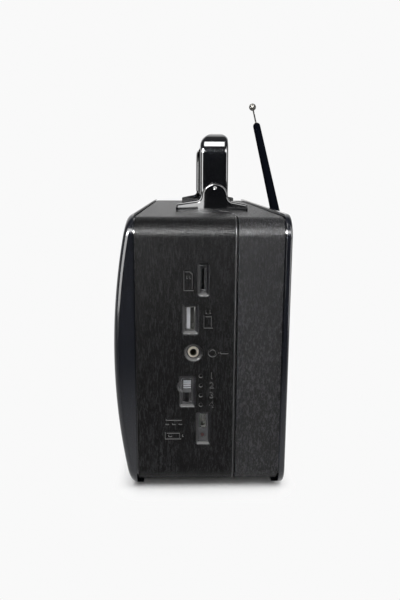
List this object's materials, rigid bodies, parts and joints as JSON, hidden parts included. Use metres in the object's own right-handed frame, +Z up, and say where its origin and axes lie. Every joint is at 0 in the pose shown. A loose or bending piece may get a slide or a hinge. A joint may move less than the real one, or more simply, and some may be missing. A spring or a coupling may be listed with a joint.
{
  "type": "portable radio",
  "caption": "Leather-covered portable radio with a bowed front, side sockets, folding carrying handle and telescopic aerial.",
  "frame": {"origin": "on the table, under the middle of the radio's box, which takes in the knobs and the aerial", "axes": "+X to the user's right when facing the front, +Y from front to back, +Z up"},
  "size_m": [0.272, 0.1046, 0.2388],
  "materials": {
    "leather": "fine-grained black leather, satin",
    "shell_plastic": "matt black",
    "rim_plastic": "smooth black with a blue tinge",
    "panel_plastic": "fine satin black",
    "chrome": "polished",
    "black_chrome": "polished black chrome",
    "grille_metal": "satin dark grey",
    "cloth": "black woven grille cloth",
    "fibreboard": "pressed board",
    "pressed_steel": "plated",
    "steel": "plated",
    "paper_cone": "pressed paper",
    "magnet": "ground",
    "dial_print": "printed, satin",
    "component_grey": "satin",
    "button_plastic": "smooth black",
    "switch_plastic": "matt black",
    "green_light": "clear green",
    "red_light": "clear red",
    "circuit_board": "green laminate",
    "ferrite": "dark grey",
    "copper_wire": "enamelled",
    "tongue_plastic": "white",
    "jack_metal": "nickel on brass",
    "slider_plastic": "grey",
    "cell_wrap": "shrink wrap",
    "black_metal": "satin black"
  },
  "bodies": {
    "cabinet": {"front_leather": "leather", "rear_leather": "leather", "front_shell": "shell_plastic", "rear_shell": "shell_plastic", "front_rim": "rim_plastic", "rear_rim": "rim_plastic", "control_panel": "panel_plastic", "grille_trim": "chrome", "speaker_grille": "grille_metal", "grille_cloth": "cloth", "baffle_board": "fibreboard", "speaker_frame": "pressed_steel", "speaker_cone": "paper_cone", "speaker_magnet": "magnet", "speaker_screws": "steel", "baffle_screws": "steel", "tuning_dial": "dial_print", "dial_ring": "chrome", "tuning_capacitor": "component_grey", "volume_pot": "component_grey", "button_switches": "switch_plastic", "power_light": "green_light", "main_board": "circuit_board", "board_screws": "steel", "ferrite_rod": "ferrite", "aerial_coil": "copper_wire", "side_board": "circuit_board", "card_slot": "steel", "usb_socket": "steel", "usb_tongue": "tongue_plastic", "aux_jack": "jack_metal", "band_switch": "pressed_steel", "charge_socket": "steel", "charge_light": "red_light", "rear_panel": "panel_plastic", "rear_screws": "steel", "battery_cell": "cell_wrap", "battery_contacts": "steel", "handle_brackets": "black_chrome", "handle_pivots": "steel", "bracket_screws": "steel", "aerial_base": "chrome"},
    "tuning": {"tuning_knob": "black_chrome", "tuning_shaft": "steel"},
    "volume": {"volume_knob": "black_chrome", "volume_shaft": "steel"},
    "button_1": {"button_1": "button_plastic"},
    "button_2": {"button_2": "button_plastic"},
    "button_3": {"button_3": "button_plastic"},
    "button_4": {"button_4": "button_plastic"},
    "band_slider": {"band_slider": "slider_plastic"},
    "battery_door": {"battery_door": "panel_plastic"},
    "handle": {"handle_strap": "black_chrome"},
    "aerial_swivel": {"aerial_swivel": "black_chrome", "aerial_pin": "steel"},
    "aerial_tube": {"aerial_tube": "black_metal"},
    "aerial_section_2": {"aerial_section_2": "chrome"},
    "aerial_section_3": {"aerial_section_3": "chrome"},
    "aerial_section_4": {"aerial_section_4": "chrome"},
    "aerial_tip": {"aerial_tip": "chrome"}
  },
  "joints": [
    {"name": "tuning_turn", "type": "hinge", "parent": "cabinet", "child": "tuning", "pos_m": [0.088, -0.04785, 0.087], "axis": [0, 1, 0], "range_deg": [-90, 90]},
    {"name": "volume_turn", "type": "hinge", "parent": "cabinet", "child": "volume", "pos_m": [0.088, -0.04785, 0.034], "axis": [0, 1, 0], "range_deg": [-150, 150]},
    {"name": "button_1_press", "type": "slide", "parent": "cabinet", "child": "button_1", "axis": [0, 1, 0], "range_m": [0, 0.0007], "stiffness_N_per_m": 1200},
    {"name": "button_2_press", "type": "slide", "parent": "cabinet", "child": "button_2", "axis": [0, 1, 0], "range_m": [0, 0.0007], "stiffness_N_per_m": 1200},
    {"name": "button_3_press", "type": "slide", "parent": "cabinet", "child": "button_3", "axis": [0, 1, 0], "range_m": [0, 0.0007], "stiffness_N_per_m": 1200},
    {"name": "button_4_press", "type": "slide", "parent": "cabinet", "child": "button_4", "axis": [0, 1, 0], "range_m": [0, 0.0007], "stiffness_N_per_m": 1200},
    {"name": "band_slide", "type": "slide", "parent": "cabinet", "child": "band_slider", "axis": [0, 0, -1], "range_m": [0, 0.0057]},
    {"name": "battery_door_swing", "type": "hinge", "parent": "cabinet", "child": "battery_door", "pos_m": [0, 0.04345, 0.0195], "axis": [-1, 0, 0], "range_deg": [0, 95]},
    {"name": "handle_fold", "type": "hinge", "parent": "cabinet", "child": "handle", "pos_m": [0, 0.00675, 0.1674], "axis": [1, 0, 0], "range_deg": [-90, 90]},
    {"name": "aerial_turn", "type": "hinge", "parent": "cabinet", "child": "aerial_swivel", "pos_m": [0.07, 0.04875, 0.139], "axis": [0, 1, 0], "range_deg": [-29, 151]},
    {"name": "aerial_fold", "type": "hinge", "parent": "aerial_swivel", "child": "aerial_tube", "pos_m": [0.07, 0.04875, 0.139], "axis": [-0.4848, 0, -0.8746], "range_deg": [0, 90]},
    {"name": "aerial_pull_2", "type": "slide", "parent": "aerial_tube", "child": "aerial_section_2", "axis": [-0.8746, 0, 0.4848], "range_m": [0, 0.1355]},
    {"name": "aerial_pull_3", "type": "slide", "parent": "aerial_section_2", "child": "aerial_section_3", "axis": [-0.8746, 0, 0.4848], "range_m": [0, 0.1358]},
    {"name": "aerial_pull_4", "type": "slide", "parent": "aerial_section_3", "child": "aerial_section_4", "axis": [-0.8746, 0, 0.4848], "range_m": [0, 0.1361]},
    {"name": "aerial_pull_tip", "type": "slide", "parent": "aerial_section_4", "child": "aerial_tip", "axis": [-0.8746, 0, 0.4848], "range_m": [0, 0.1364]}
  ]
}
